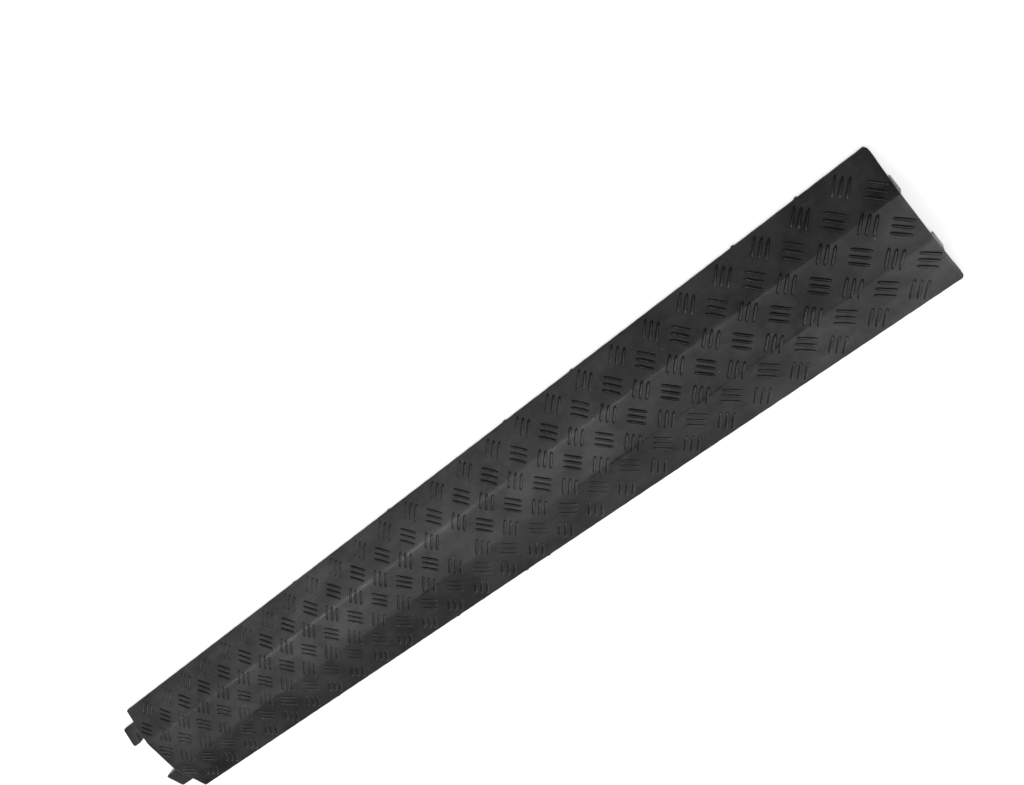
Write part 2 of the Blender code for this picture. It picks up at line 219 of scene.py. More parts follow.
def stretched(tree, vector, factors):
    """Coordinates scaled by a factor on each axis."""
    node = tree.nodes.new("ShaderNodeMapping")
    node.inputs["Scale"].default_value = factors
    tree.links.new(vector, node.inputs["Vector"])
    return node.outputs[0]


def smudge_group():
    """Dull and shiny patches that handling and the cooling melt leave: broad clouds with smaller ones on
    them, and a waxy film in clouds drawn out along the ramp."""
    group, given, result = effect_group("smudges", ["Tone", "Patch", "Film", "Height"])
    vector = given.outputs["Vector"]
    broad = spread(group, noise(group, vector, 26, 3, 0.55), 0.36, 0.64)
    film = spread(group, noise(group, stretched(group, vector, (0.5, 1, 1)), 34, 4, 0.6), 0.42, 0.66)
    small = spread(group, noise(group, vector, 130, 4, 0.6), 0.3, 0.7)
    group.links.new(weighed(group, broad, 0.6, small, 0.4), result.inputs["Tone"])
    group.links.new(broad, result.inputs["Patch"])
    group.links.new(film, result.inputs["Film"])
    group.links.new(small, result.inputs["Height"])
    return group


def grain_group():
    """The mould's eroded finish: a fine pebble of a few tenths of a millimetre."""
    group, given, result = effect_group("mould grain", ["Height"])
    fine = noise(group, given.outputs["Vector"], 2600, 2, 0.6)
    coarse = noise(group, given.outputs["Vector"], 900, 2, 0.5)
    group.links.new(weighed(group, fine, 0.6, coarse, 0.4), result.inputs["Height"])
    return group


def scuff_group():
    """Thin scratches and a few specks of dust. The scratches are a noise drawn out along the ramp and cut
    to its crests; the specks are the cores of sparse Voronoi cells."""
    group, given, result = effect_group("scuffs and dust", ["Scuff", "Dust"])
    vector = given.outputs["Vector"]
    along = spread(group, noise(group, stretched(group, vector, (30, 900, 900)), 1, 2), 0.66, 0.74)
    where = spread(group, noise(group, vector, 18, 2), 0.5, 0.62)
    group.links.new(math_node(group, "MULTIPLY", along, where), result.inputs["Scuff"])
    cells = group.nodes.new("ShaderNodeTexVoronoi")
    cells.inputs["Scale"].default_value = 150
    group.links.new(vector, cells.inputs["Vector"])
    core = math_node(group, "LESS_THAN", cells.outputs["Distance"], 0.075)
    split = group.nodes.new("ShaderNodeSeparateColor")
    group.links.new(cells.outputs["Color"], split.inputs[0])
    chosen = math_node(group, "GREATER_THAN", split.outputs[0], 0.93)
    group.links.new(math_node(group, "MULTIPLY", core, chosen), result.inputs["Dust"])
    return group


smudges = smudge_group()
mould_grain = grain_group()
scuffs = scuff_group()


def black_plastic(name, dark, light, roughness, patch_roughness, grain_depth, scuff_amount, painted_sheen_tone=0.0):
    """Moulded black plastic. Its tone goes from dark to light with the smudges. Worn parts are smoother, and
    their colour is lightened a little as a painted sheen. Its gloss and its waxy film change with the
    patches.
    The wear and sheen mask is the piece's attribute, or 0. Scratches and dust are a little lighter and
    duller."""
    material = bpy.data.materials.new(name)
    material.use_nodes = True
    tree = material.node_tree
    shader = tree.nodes["Principled BSDF"]
    place = tree.nodes.new("ShaderNodeTexCoord").outputs["Object"]
    effects = []
    for group in (smudges, mould_grain, scuffs):
        node = tree.nodes.new("ShaderNodeGroup")
        node.node_tree = group
        tree.links.new(place, node.inputs["Vector"])
        effects.append(node.outputs)
    patches, grain, marks = effects
    rub_and_sheen = tree.nodes.new("ShaderNodeAttribute")
    rub_and_sheen.attribute_name = "rub_and_sheen"
    tone = math_node(tree, "MULTIPLY_ADD", patches["Tone"], light - dark, dark)
    # Painted sheen: worn crests, the ridges and the bar tops, are lightened in colour.
    tone = math_node(tree, "MULTIPLY_ADD", rub_and_sheen.outputs["Fac"], painted_sheen_tone, tone)
    tone = math_node(tree, "MULTIPLY_ADD", marks["Scuff"], scuff_amount, tone)
    tone = math_node(tree, "MULTIPLY_ADD", marks["Dust"], DUST_TONE, tone)
    colour = tree.nodes.new("ShaderNodeCombineColor")
    tree.links.new(tone, colour.inputs["Red"])
    tree.links.new(math_node(tree, "MULTIPLY", tone, GREEN_CAST), colour.inputs["Green"])
    tree.links.new(math_node(tree, "MULTIPLY", tone, BLUE_CAST), colour.inputs["Blue"])
    tree.links.new(colour.outputs[0], shader.inputs["Base Color"])
    gloss = math_node(tree, "MULTIPLY_ADD", patches["Patch"], patch_roughness, roughness)
    gloss = math_node(tree, "MULTIPLY_ADD", rub_and_sheen.outputs["Fac"], -RUB_POLISH, gloss)
    gloss = math_node(tree, "MULTIPLY_ADD", marks["Scuff"], SCUFF_DULLING, gloss)
    tree.links.new(gloss, shader.inputs["Roughness"])
    tree.links.new(math_node(tree, "MULTIPLY", patches["Film"], FILM_WEIGHT), shader.inputs["Coat Weight"])
    shader.inputs["Coat Roughness"].default_value = FILM_ROUGHNESS
    bump = tree.nodes.new("ShaderNodeBump")
    bump.inputs["Distance"].default_value = grain_depth
    height = math_node(tree, "MULTIPLY_ADD", patches["Height"], SMUDGE_RELIEF, grain["Height"])
    tree.links.new(height, bump.inputs["Height"])
    tree.links.new(bump.outputs["Normal"], shader.inputs["Normal"])
    return material


# Along the ridges the deck is polished by wear and also lightened in colour, a painted sheen.
deck_plastic = black_plastic(
    "deck_plastic",
    dark=0.001,
    light=0.033,
    roughness=0.28,
    patch_roughness=0.22,
    grain_depth=0.00004,
    scuff_amount=0.03,
    painted_sheen_tone=0.005,
)

turn_down = np.linspace(0, math.pi, CROWN_POINTS)
crown_top = ridge_y * np.cos(turn_down)
crown_section = np.stack([crown_top, deck_height(crown_top)], axis=1)
crown_section = np.concatenate([crown_section, [(-ridge_y, ceiling), (ridge_y, ceiling)]])
crown_rings = swept(crown_section, np.abs(crown_section[:, 0]) > ridge_y - TOUCHING, CROWN_STEP)
crown_rings[:, :-2, 2] += ripple(crown_rings[:, :-2, 0], crown_rings[:, :-2, 1])

# The ridge mask makes the fold smoother as wear and lightens its colour as a painted sheen.
crown_wear_and_sheen = ridge_wear_and_sheen(crown_rings[..., 1])
crown = moulded("crown_top", [closed_skin(crown_rings[None])], deck_plastic, rub_and_sheen=crown_wear_and_sheen)
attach(crown, "root")
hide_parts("crown")

# Ramps: the two sloping decks, thinner than the crown, each with a solid foot rim along its outer edge that
# stands on the floor. The foot edge is a low step with a rounded lip. The mould parts there, so it is never
# quite even and has a few small tabs of flash.

SIDES = {"left": 1, "right": -1}
RAMP_WALL = 0.0035
RIM_WIDTH = 0.00625
FOOT_EDGE = 0.0004
LIP_RADIUS = 0.0009
RIM_ROOT = 0.0006
HOOK_END_CORNER = 0.0020
SOCKET_END_CORNER = 0.0035
FLASH = 0.00016
FLASH_WAVES = ((310, 0, 1.0), (743, 1, 0.7), (1490, 2, 0.5))
TAB_PLACES = {"left": (0.312, 0.460, 0.619, 0.701, 0.876, 0.937), "right": (0.246, 0.434, 0.530, 0.559)}
TAB_LENGTH = 0.0036
TAB_REACH = 0.0010
TAB_ROOT = 0.0010
TAB_LOW = 0.0008
TAB_HIGH = 0.0022
RAMP_STEP = 0.0030
RAMP_POINTS = 46
RAMP_CROWDING = 1.6
ARC_STEPS = 6

rim_inner = edge_y - RIM_WIDTH


def underside(y):
    """Height of a ramp's underside at y: the deck's straight fall, lowered by the wall measured square to
    it."""
    return ridge_z - fall * (np.abs(y) - ridge_y) - RAMP_WALL * math.hypot(1, fall)


def rounded(corners, radii):
    """A closed outline with arcs at the corners that are given a radius. An arc runs between the points where
    it touches its two edges, about a centre on the corner's bisector."""
    corners = [np.array(corner, float) for corner in corners]
    outline = []
    for index, corner in enumerate(corners):
        if index not in radii:
            outline.append(corner[None])
            continue
        back = corners[index - 1] - corner
        ahead = corners[(index + 1) % len(corners)] - corner
        back /= np.linalg.norm(back)
        ahead /= np.linalg.norm(ahead)
        half = math.acos(np.clip(back @ ahead, -1, 1)) / 2
        centre = corner + (back + ahead) / np.linalg.norm(back + ahead) * radii[index] / math.sin(half)
        first = corner + back * radii[index] / math.tan(half) - centre
        last = corner + ahead * radii[index] / math.tan(half) - centre
        sweep = math.pi - 2 * half
        part = np.linspace(0, sweep, ARC_STEPS + 1)[:, None]
        outline.append(centre + (np.sin(sweep - part) * first + np.sin(part) * last) / math.sin(sweep))
    return np.concatenate(outline)


def corner_cut(y, radius):
    """How far a rounded plan corner draws the ramp's end back at y."""
    over = np.clip(np.abs(y) - (edge_y - radius), 0, radius)
    return radius - np.sqrt(radius**2 - over**2)


def flash_line(x):
    """Outward shift of the foot edge: the parting line's small unevenness, unlike waves along the ramp added
    up by their shares."""
    waves = sum(share * np.sin(turn * x + start) for turn, start, share in FLASH_WAVES)
    return FLASH * waves / sum(share for _, _, share in FLASH_WAVES)


def flash_tab(x, side, share):
    """A small flat tab on the foot edge, narrower outwards. Its share says how much it has of the full
    reach."""
    half = TAB_LENGTH / 2
    reach = TAB_REACH * share
    plan = np.array(
        [
            (-half, -TAB_ROOT),
            (half, -TAB_ROOT),
            (half, 0),
            (half * 0.6, reach),
            (-half * 0.7, reach * 0.9),
            (-half, 0),
        ]
    )
    rings = np.empty((1, 2, len(plan), 3))
    rings[..., 0] = hook_end + x + plan[:, 0]
    rings[..., 1] = side * (edge_y + plan[:, 1])
    rings[0, :, :, 2] = ((TAB_LOW,), (TAB_HIGH,))
    return closed_skin(rings)


ramp_corners = [
    (ridge_y, underside(ridge_y)),
    (rim_inner, underside(rim_inner)),
    (rim_inner, 0),
    (edge_y, 0),
    (edge_y, FOOT_STEP),
    (ridge_y, ridge_z),
]
ramp_radii = {1: RIM_ROOT, 2: FOOT_EDGE, 3: FOOT_EDGE, 4: LIP_RADIUS}
under = rounded(ramp_corners, ramp_radii)[:-1]
part_up = np.linspace(1, 0, RAMP_POINTS)[1:] ** RAMP_CROWDING
deck_y = ridge_y + (under[-1, 0] - ridge_y) * part_up
ramp_section = np.concatenate([under, np.stack([deck_y, deck_height(deck_y)], axis=1)])
ramp_rings = swept(ramp_section, ramp_section[:, 0] < ridge_y + TOUCHING, RAMP_STEP)
share = (ramp_rings[:, :1, 0] - hook_end) / (socket_end - hook_end)
ramp_y = ramp_rings[:, :, 1].copy()
ramp_rings[:, :, 0] += (1 - share) * corner_cut(ramp_y, HOOK_END_CORNER)
ramp_rings[:, :, 0] -= share * corner_cut(ramp_y, SOCKET_END_CORNER)
ramp_rings[:, :, 1] += flash_line(ramp_rings[:, :, 0]) * np.clip((ramp_y - edge_y) / LIP_RADIUS + 1, 0, 1)

for side_name, side in SIDES.items():
    rings = ramp_rings * (1, side, 1)
    on_deck = slice(len(under), None)
    rings[:, on_deck, 2] += ripple(rings[:, on_deck, 0], rings[:, on_deck, 1])
    tabs = [flash_tab(x, side, 0.5 + 0.5 * x) for x in TAB_PLACES[side_name]]
    # Wear along the ridges, with its painted sheen; the flash tabs have none.
    worn_and_sheen = np.concatenate([ridge_wear_and_sheen(rings[..., 1]).ravel(), *(np.zeros(len(points)) for points, _ in tabs)])
    skins = [closed_skin(rings[None]), *tabs]
    ramp = moulded(f"ramp_deck_{side_name}", skins, deck_plastic, rub_and_sheen=worn_and_sheen)
    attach(ramp, "root")
    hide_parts(f"ramp_{side_name}")

# Tread bars: groups of three low raised bars, cut into the mould on a staggered grid, each row leaning the
# other way from the next. Shoes and wheels rub their tops, which are smoother than the deck. The bars'
# colour is darker than the deck's, a painted shade for their shaded flanks, and their worn tops are a
# little lighter, a painted sheen.

GROUP_PITCH = 0.0375
ROW_PITCH = 0.01725
ROWS = 3
BAR_PITCH = 0.0057
BAR_LENGTH = 0.0175
BAR_WIDTH = 0.0029
BAR_ROOT = 0.0005
BAR_ROUNDNESS = 1.55
BAR_RISE = 0.0010
BAR_ACROSS = (1, 0.7, 0.35, 0, -0.35, -0.7, -1, -1, 1)
BAR_TOP_POINTS = 7
BAR_STATIONS = 8
END_NARROWING = 0.85
END_SQUARENESS = 12
END_DROP = 0.97
END_SLOPE = 9
GROUPS_FROM_MIDDLE = 13
BAR_LEAN = math.pi / 4
BAR_CREASE = 75

# The bars' plastic is coloured darker than the deck's as painted shade for their dark flanks, and its worn
# tops are lightened as a painted sheen.
tread_plastic = black_plastic(
    "tread_plastic",
    dark=0.003,
    light=0.009,
    roughness=0.19,
    patch_roughness=0.10,
    grain_depth=0.00001,
    scuff_amount=0.03,
    painted_sheen_tone=0.004,
)
middle_x = (hook_end + socket_end) / 2


def bar_shape():
    """One bar about the origin as rings[station, point, xyz] and how worn each point is, which also sets its
    painted sheen. Seen along its length a bar is a ridge that falls off as a power of the distance from its
    middle. Its ends narrow and drop likewise."""
    reach = np.sin(np.linspace(-1, 1, BAR_STATIONS) * math.pi / 2)
    width = (1 - END_NARROWING * np.abs(reach) ** END_SQUARENESS)[:, None]
    height = (1 - END_DROP * np.abs(reach) ** END_SLOPE)[:, None]
    across = np.array(BAR_ACROSS)
    ridge = BAR_RISE * (1 - np.abs(across) ** BAR_ROUNDNESS)
    up = np.where(np.arange(len(across)) < BAR_TOP_POINTS, ridge, -BAR_ROOT)
    bar = np.empty((BAR_STATIONS, len(up), 3))
    bar[:, :, 0] = reach[:, None] * BAR_LENGTH / 2
    bar[:, :, 1] = width * across * BAR_WIDTH / 2
    bar[:, :, 2] = np.where(up > 0, height * up, up)
    return bar, np.clip(bar[:, :, 2] / BAR_RISE, 0, 1) ** 2


def bar_places():
    """Centre and lean of every bar: rows in step with the ramp's middle lean back, the rows between them lean
    forward and sit half a pitch on. The middle place of the deck is left plain."""
    row, group, bar = np.meshgrid(
        np.arange(-ROWS, ROWS + 1),
        np.arange(-GROUPS_FROM_MIDDLE, GROUPS_FROM_MIDDLE + 1),
        np.arange(-1, 2),
        indexing="ij",
    )
    odd = row % 2 == 1
    kept = ~(odd & (group == -GROUPS_FROM_MIDDLE)) & ~((row == 0) & (group == 0))
    lean = np.where(odd, BAR_LEAN, -BAR_LEAN)
    x = middle_x + (group - 0.5 * odd) * GROUP_PITCH - np.sin(lean) * bar * BAR_PITCH
    y = row * ROW_PITCH + np.cos(lean) * bar * BAR_PITCH
    return x[kept], y[kept], lean[kept]


shape, worn_and_sheen = bar_shape()
bar_x, bar_y, bar_lean = (values[:, None, None] for values in bar_places())
bars = np.empty((len(bar_x), *shape.shape))
bars[..., 0] = bar_x + np.cos(bar_lean) * shape[..., 0] - np.sin(bar_lean) * shape[..., 1]
bars[..., 1] = bar_y + np.sin(bar_lean) * shape[..., 0] + np.cos(bar_lean) * shape[..., 1]
bars[..., 2] = deck_height(bars[..., 1]) + shape[..., 2]

bars_worn_and_sheen = np.tile(worn_and_sheen.ravel(), len(bars))
treads = moulded("tread_bars", [closed_skin(bars)], tread_plastic, crease=BAR_CREASE, rub_and_sheen=bars_worn_and_sheen)
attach(treads, "root")

# Channel walls: the two long walls beside the cables, which carry the crown. They lean back by the mould's
# draft and spread into the ceiling in a fillet, and each is thinner beside its socket, for the hook's head.
# Members that run into each other end a few hundredths of a millimetre apart, so that no two faces coincide.

WALL_DRAFT = 0.06
CAD_WALL_DRAFT = 0.08
ROOT_FILLET = 0.0010
STAND_EDGE = 0.00035
SUNK = 0.0004
HAIR = 0.00002
THIN_WALL_CORNER = 0.0008
END_WALL_LAP = 0.0012

inner_plastic = black_plastic(
    "inner_plastic",
    dark=0.018,
    light=0.032,
    roughness=0.40,
    patch_roughness=0.14,
    grain_depth=0.00002,
    scuff_amount=0.02,
)


def roof(y):
    """Height of what a member under the deck runs up to: the channel's ceiling, or the ramp's underside."""
    return np.where(np.abs(y) < ridge_y, ceiling, underside(y))


def standing(outline, draft=WALL_DRAFT, root=ROOT_FILLET, edge=STAND_EDGE, low=0.0, lowered=0.0):
    """Rings of a member that stands under the deck, from a plan outline. Its foot is a quarter round, it
    grows outwards by the draft, and it spreads in a quarter-round fillet and sinks into the deck. One that is
    lowered from the deck stays free, and its top edge is a quarter round too."""
    turn = np.linspace(0, math.pi / 2, CORNER_TURNS)
    rings = []
    for angle in turn:
        plan = inset(outline, edge * (1 - math.sin(angle)))
        rings.append(np.column_stack([plan, np.full(len(plan), low + edge * (1 - math.cos(angle)))]))
    radius = edge if lowered else root
    for angle in turn:
        grown = draft * (roof(outline[:, 1:]) - radius)
        bend = -edge * (1 - math.cos(angle)) if lowered else root * (1 - math.cos(angle))
        plan = inset(outline, -grown - bend)
        top = roof(plan[:, 1]) - lowered - radius * (1 - math.sin(angle))
        rings.append(np.column_stack([plan, top]))
    if not lowered:
        rings.append(rings[-1] + (0, 0, SUNK))
    return np.array(rings)


def within_ends(rings, short):
    """The rings cut off a little short of the ramp's two ends."""
    cut = rings.copy()
    cut[..., 0] = np.clip(cut[..., 0], hook_end + short, socket_end - short)
    return cut


def on_side(rings, side):
    """The closed skin of one body's rings on the left of the ramp, as they are, or mirrored to its right."""
    return closed_skin((rings * (1, side, 1))[None])


wall_foot_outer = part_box("channel_wall_left")[1].y
narrow_low, narrow_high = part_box("socket_inner_wall_left")
end_wall_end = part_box("hook_end_wall_left")[1].x
channel_foot = narrow_low.y + ceiling * CAD_WALL_DRAFT
socket_start = narrow_low.x
channel_corners = [
    (end_wall_end - END_WALL_LAP, channel_foot),
    (socket_end, channel_foot),
    (socket_end, narrow_high.y),
    (socket_start, narrow_high.y),
    (socket_start, wall_foot_outer),
    (end_wall_end - END_WALL_LAP, wall_foot_outer),
]
channel_rings = within_ends(standing(rounded(channel_corners, {3: THIN_WALL_CORNER}), low=HAIR), HAIR)
for side_name, side in SIDES.items():
    wall = moulded(f"channel_side_{side_name}", [on_side(channel_rings, side)], inner_plastic)
    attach(wall, "root")
    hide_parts(f"channel_wall_{side_name}", f"socket_inner_wall_{side_name}")

# End walls: the solid blocks that close the hook end on either side of the channel and carry the hooks. They
# run from the channel into the rim, and the mould leaves them a slight draft.

RIM_LAP = 0.0006
BLOCK_DRAFT = 0.03
END_BLOCK_ROOT = 0.0008

end_corners = [
    (hook_end, channel_foot),
    (end_wall_end, channel_foot),
    (end_wall_end, rim_inner + RIM_LAP),
    (hook_end, rim_inner + RIM_LAP),
]
end_rings = standing(rounded(end_corners, {}), draft=BLOCK_DRAFT, root=END_BLOCK_ROOT)
end_rings = within_ends(end_rings, 2 * HAIR)
for side_name, side in SIDES.items():
    wall = moulded(f"end_block_{side_name}", [on_side(end_rings, side)], inner_plastic)
    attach(wall, "root")
    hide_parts(f"hook_end_wall_{side_name}")

# Cross ribs: thin walls from the channel wall out to the rim, which hold the ramp up every 53 mm. Each is
# thicker at its root than at its foot, and flares where it runs into the channel wall and, a little, the rim.

RIBS_A_SIDE = 17
RIB_FOOT = 0.0034
RIB_DRAFT = 0.04
RIB_EDGE = 0.0003
THIN_ROOT = 0.0006
WALL_FLARE = 0.0022
RIM_FLARE = 0.0012
RIB_LAP = 0.0006
RIB_POINTS = 30


def rib_plan(centre_x):
    """A rib's plan outline. Its half width is the foot's, plus at either end what a quarter circle of the
    flare's radius leaves between the rib's side and the wall that it meets."""
    part = (1 - np.cos(np.linspace(0, math.pi, RIB_POINTS))) / 2
    y = wall_foot_outer - RIB_LAP + (rim_inner - wall_foot_outer + 2 * RIB_LAP) * part
    half = np.full(len(y), RIB_FOOT / 2)
    for flare, past in ((WALL_FLARE, y - wall_foot_outer), (RIM_FLARE, rim_inner - y)):
        left = np.clip(flare - past, 0, flare)
        half += flare - np.sqrt(flare**2 - left**2)
    right_hand = np.stack([centre_x + half, y], axis=1)
    left_hand = np.stack([centre_x - half, y], axis=1)[::-1]
    return np.concatenate([right_hand, left_hand])


def rib_middle(side_name, number):
    """Where a rib stands along the ramp."""
    low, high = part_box(f"rib_{side_name}_{number:02d}")
    return (low.x + high.x) / 2


for side_name, side in SIDES.items():
    for number in range(1, RIBS_A_SIDE + 1):
        plan = rib_plan(rib_middle(side_name, number))
        rings = standing(plan, draft=RIB_DRAFT, root=THIN_ROOT, edge=RIB_EDGE, low=2 * HAIR)
        rib = moulded(f"cross_rib_{side_name}_{number:02d}", [on_side(rings, side)], inner_plastic)
        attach(rib, "root")
        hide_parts(f"rib_{side_name}_{number:02d}")

# Boss rings: a thin ring round each screw place with a web on either side, which ties it to the walls or
# ribs. The ring stands on the floor, is a little thicker at its root, and spreads into the ramp in a fillet.

RING_OUTER = 0.01275
RING_INNER = 0.01075
RING_EDGE = 0.0005
RING_GROWTH = 0.0003
ROUND_ROOT = 0.0008
ROUND_SPREAD = 0.0012
WEB_WIDTH = 0.00275
WEB_LAP = 0.0008
WEB_GAP = 0.001
ROUND_POINTS = 72
BEVEL_MIDDLE = 0.3


def turned(centre, profile, points=ROUND_POINTS):
    """Rings of a round member about an upright axis, from a profile of (radius, height, hangs from the
    roof)."""
    angle = np.linspace(0, 2 * math.pi, points, endpoint=False)
    rings = np.empty((len(profile), points, 3))
    for ring, (radius, height, hangs) in zip(rings, profile):
        ring[:, 0] = centre[0] + radius * np.cos(angle)
        ring[:, 1] = centre[1] + radius * np.sin(angle)
        ring[:, 2] = height + hangs * roof(ring[:, 1])
    return rings


def root_round(radius, out):
    """Profile points of the quarter round by which an upright face of this radius spreads into the roof,
    outwards or, with out at -1, inwards."""
    turn = np.linspace(0, math.pi / 2, CORNER_TURNS)
    return [(radius + out * ROUND_ROOT * (1 - math.cos(a)), -ROUND_ROOT * (1 - math.sin(a)), 1) for a in turn]


ring_profile = [
    (RING_OUTER + ROUND_SPREAD, SUNK, 1),
    *root_round(RING_OUTER + RING_GROWTH, 1)[::-1],
    (RING_OUTER, RING_EDGE, 0),
    (RING_OUTER - RING_EDGE * BEVEL_MIDDLE, RING_EDGE * BEVEL_MIDDLE, 0),
    (RING_OUTER - RING_EDGE, 0, 0),
    (RING_INNER + RING_EDGE, 0, 0),
    (RING_INNER + RING_EDGE * BEVEL_MIDDLE, RING_EDGE * BEVEL_MIDDLE, 0),
    (RING_INNER, RING_EDGE, 0),
    *root_round(RING_INNER - RING_GROWTH, -1),
    (RING_INNER - ROUND_SPREAD, SUNK, 1),
]
boss_centres = {}
for side_name, side in SIDES.items():
    for end_name in ("hook_end", "socket_end"):
        ring_low, ring_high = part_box(f"boss_ring_{side_name}_{end_name}")
        post_low, post_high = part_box(f"screw_post_{side_name}_{end_name}")
        centre = ((post_low.x + post_high.x) / 2, abs(post_low.y + post_high.y) / 2)
        boss_centres[side_name, end_name] = centre
        ring = closed_skin((turned(centre, ring_profile) * (1, side, 1))[None], round_trip=True)
        web_ends = (
            (ring_low.x - WEB_LAP, centre[0] - RING_INNER - WEB_GAP),
            (centre[0] + RING_INNER + WEB_GAP, ring_high.x + WEB_LAP),
        )
        webs = []
        for near, far in web_ends:
            corners = [
                (near, centre[1] - WEB_WIDTH / 2),
                (far, centre[1] - WEB_WIDTH / 2),
                (far, centre[1] + WEB_WIDTH / 2),
                (near, centre[1] + WEB_WIDTH / 2),
            ]
            web = standing(rounded(corners, {}), draft=BLOCK_DRAFT, root=THIN_ROOT, low=3 * HAIR)
            webs.append(on_side(web, side))
        boss = moulded(f"screw_ring_{side_name}_{end_name}", [ring, *webs], inner_plastic)
        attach(boss, "root")
        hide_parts(f"boss_ring_{side_name}_{end_name}")

# Screw posts: a short blind post inside each ring, set back from the floor, with a dimple to start a drill.
# It takes a screw only once it is drilled.

POST_RADIUS = 0.0065
POST_GROWTH = 0.0002
POST_EDGE = 0.0004
DIMPLE_RADIUS = 0.0016
DIMPLE_DEPTH = 0.0006

for (side_name, end_name), centre in boss_centres.items():
    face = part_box(f"screw_post_{side_name}_{end_name}")[0].z
    profile = [
        (POST_RADIUS + ROUND_SPREAD, SUNK, 1),
        *root_round(POST_RADIUS + POST_GROWTH, 1)[::-1],
        (POST_RADIUS, face + POST_EDGE, 0),
        (POST_RADIUS - POST_EDGE * BEVEL_MIDDLE, face + POST_EDGE * BEVEL_MIDDLE, 0),
        (POST_RADIUS - POST_EDGE, face, 0),
        (DIMPLE_RADIUS, face, 0),
        (DIMPLE_RADIUS * 0.5, face + DIMPLE_DEPTH * 0.7, 0),
        (DIMPLE_RADIUS * 0.1, face + DIMPLE_DEPTH, 0),
    ]
    skin = on_side(turned(centre, profile), SIDES[side_name])
    post = moulded(f"blind_post_{side_name}_{end_name}", [skin], inner_plastic)
    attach(post, "root")
    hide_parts(f"screw_post_{side_name}_{end_name}")

# Ejector pads: where the mould's pins push on the rims and on the walls' feet at every second rib. A pad
# stands the least bit proud of the foot, bulges into the cell beside it, and is darker because the pin's end
# is polished.

RIM_PAD_RADIUS = 0.0036
WALL_PAD_RADIUS = 0.0026
PAD_PROUD = 0.00005
PAD_EDGE = 0.00025
PAD_ROOT = 0.0015
PAD_POINTS = 28
RIM_PAD_IN = 0.00015
WALL_PAD_IN = 0.0020
END_PAD_FROM_MIDDLE = 0.470

pin_plastic = black_plastic(
    "pin_plastic",
    dark=0.005,
    light=0.012,
    roughness=0.30,
    patch_roughness=0.10,
    grain_depth=0.00001,
    scuff_amount=0.02,
)

pads = []
for side_name, side in SIDES.items():
    pad_x = [rib_middle(side_name, number) for number in range(1, RIBS_A_SIDE + 1, 2)]
    rim_pad_y = edge_y - RIM_PAD_IN - RIM_PAD_RADIUS
    rim_pad_x = [*pad_x, middle_x + END_PAD_FROM_MIDDLE]
    rim_pads = [(x, rim_pad_y, RIM_PAD_RADIUS) for x in rim_pad_x]
    wall_pads = [(x, wall_foot_outer - WALL_PAD_IN, WALL_PAD_RADIUS) for x in pad_x]
    for x, y, radius in rim_pads + wall_pads:
        profile = [
            (radius, SUNK, 1),
            (radius, PAD_EDGE, 0),
            (radius - PAD_EDGE * BEVEL_MIDDLE, PAD_EDGE * BEVEL_MIDDLE - PAD_PROUD, 0),
            (radius - PAD_EDGE, -PAD_PROUD, 0),
        ]
        pad = turned((x, y), profile, points=PAD_POINTS)
        pad[0, :, 2] = np.maximum(pad[0, :, 2], PAD_ROOT)
        pads.append(on_side(pad, side))
pins = moulded("ejector_pads", pads, pin_plastic)
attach(pins, "root")

# Gate mark: the broken-off runner in the middle of the ceiling, where the melt came in, on its shallow round
# land. A peg in one cell, beside the channel wall, is left by a spare pin hole.

GATE_PROFILE_MM = ((4.5, 0.4), (4.5, -0.1), (4.2, -0.25), (1.7, -0.3), (1.4, -0.8), (0.8, -1.0), (0.2, -0.9))
PEG_FROM_MIDDLE = 0.3775
PEG_SIZE = (0.0032, 0.0024)
PEG_GAP = 0.0008
PEG_FOOT = 0.0050
PEG_DRAFT = 0.02
PEG_ROOT = 0.0004

gate = turned((middle_x, 0), [(radius / 1000, height / 1000, 1) for radius, height in GATE_PROFILE_MM])
peg_x = middle_x + PEG_FROM_MIDDLE
peg_y = wall_foot_outer + PEG_GAP
peg_corners = [
    (peg_x - PEG_SIZE[0] / 2, peg_y),
    (peg_x + PEG_SIZE[0] / 2, peg_y),
    (peg_x + PEG_SIZE[0] / 2, peg_y + PEG_SIZE[1]),
    (peg_x - PEG_SIZE[0] / 2, peg_y + PEG_SIZE[1]),
]
peg = standing(rounded(peg_corners, {}), draft=PEG_DRAFT, root=PEG_ROOT, low=PEG_FOOT)
peg_skin = on_side(peg, SIDES["right"])
vestiges = moulded("gate_mark_and_peg", [closed_skin(gate[None]), peg_skin], inner_plastic)
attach(vestiges, "root")

# Hooks: an arm out of each end wall with a head turned in towards the channel. The next ramp's sockets drop
# over them. They are moulded solid, lower than the deck's underside, with rounded corners.

HOOK_THROAT = 0.0120
HOOK_ARM_WIDTH = 0.010825
HOOK_CORNER = 0.0022
HOOK_TIP_CORNER = 0.0035
THROAT_CORNER = 0.0015
HOOK_EDGE = 0.0005
HOOK_LOWERED = 0.0006
HOOK_ROOT = 0.0020

